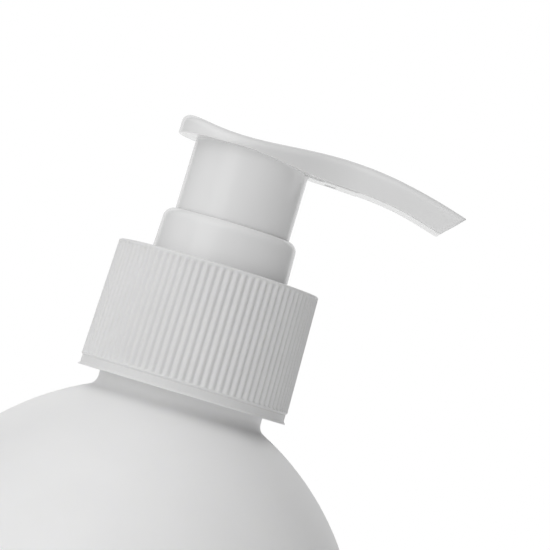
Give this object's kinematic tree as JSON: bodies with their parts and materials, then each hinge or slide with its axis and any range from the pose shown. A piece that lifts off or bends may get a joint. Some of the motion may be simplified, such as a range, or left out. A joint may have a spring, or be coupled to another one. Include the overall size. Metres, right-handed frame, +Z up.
{
  "type": "shampoo bottle with lotion pump",
  "caption": "Round white bottle with a domed shoulder, ribbed screw closure and a lotion pump whose long curved spout turns and presses down against a spring.",
  "frame": {"origin": "centre of the bottle's base, on the surface that it stands on", "axes": "+Z up along the bottle and the pump, +X along the spout, towards its tip"},
  "size_m": [0.0784, 0.0784, 0.1762],
  "materials": {
    "bottle_white": "soft satin blow-moulded polyethylene",
    "closure_white": "matte moulded polypropylene",
    "pump_white": "semi-gloss moulded polypropylene",
    "natural_plastic": "unpigmented translucent polypropylene",
    "seal_white": "soft white polyethylene foam and elastomer",
    "spring_steel": "drawn stainless wire"
  },
  "bodies": {
    "bottle": {"bottle": "bottle_white"},
    "pump": {"pump_housing": "natural_plastic", "locking_collar": "pump_white", "bottle_gasket": "seal_white", "stem_seal": "seal_white", "dip_tube": "natural_plastic"},
    "closure": {"screw_closure": "closure_white"},
    "spring": {"return_spring": "spring_steel"},
    "head": {"actuator_head": "pump_white", "spout_plug": "pump_white", "stem": "pump_white", "piston_rod": "natural_plastic"},
    "piston": {"piston": "natural_plastic"},
    "ball": {"inlet_ball": "spring_steel"}
  },
  "joints": [
    {"name": "pump_lift", "type": "slide", "parent": "bottle", "child": "pump", "axis": [0, 0, 1], "range_m": [0, 0.00635]},
    {"name": "closure_turn", "type": "hinge", "parent": "pump", "child": "closure", "pos_m": [0, 0, 0.134], "axis": [0, 0, 1], "range_deg": [0, 540]},
    {"name": "head_turn", "type": "hinge", "parent": "pump", "child": "spring", "pos_m": [0, 0, 0.134], "axis": [0, 0, 1], "continuous": true},
    {"name": "pump_stroke", "type": "slide", "parent": "spring", "child": "head", "axis": [0, 0, -1], "range_m": [0, 0.0105], "stiffness_N_per_m": 900, "springref_m": -0.01, "deforming": ["return_spring"]},
    {"name": "valve_play", "type": "slide", "parent": "head", "child": "piston", "axis": [0, 0, 1], "range_m": [0, 0.0012]},
    {"name": "ball_lift", "type": "slide", "parent": "pump", "child": "ball", "axis": [0, 0, 1], "range_m": [0, 0.0018]}
  ],
  "couplings": [
    {"joint": "closure_turn", "follows": "pump_lift", "rad_per_m": 1484.3}
  ]
}
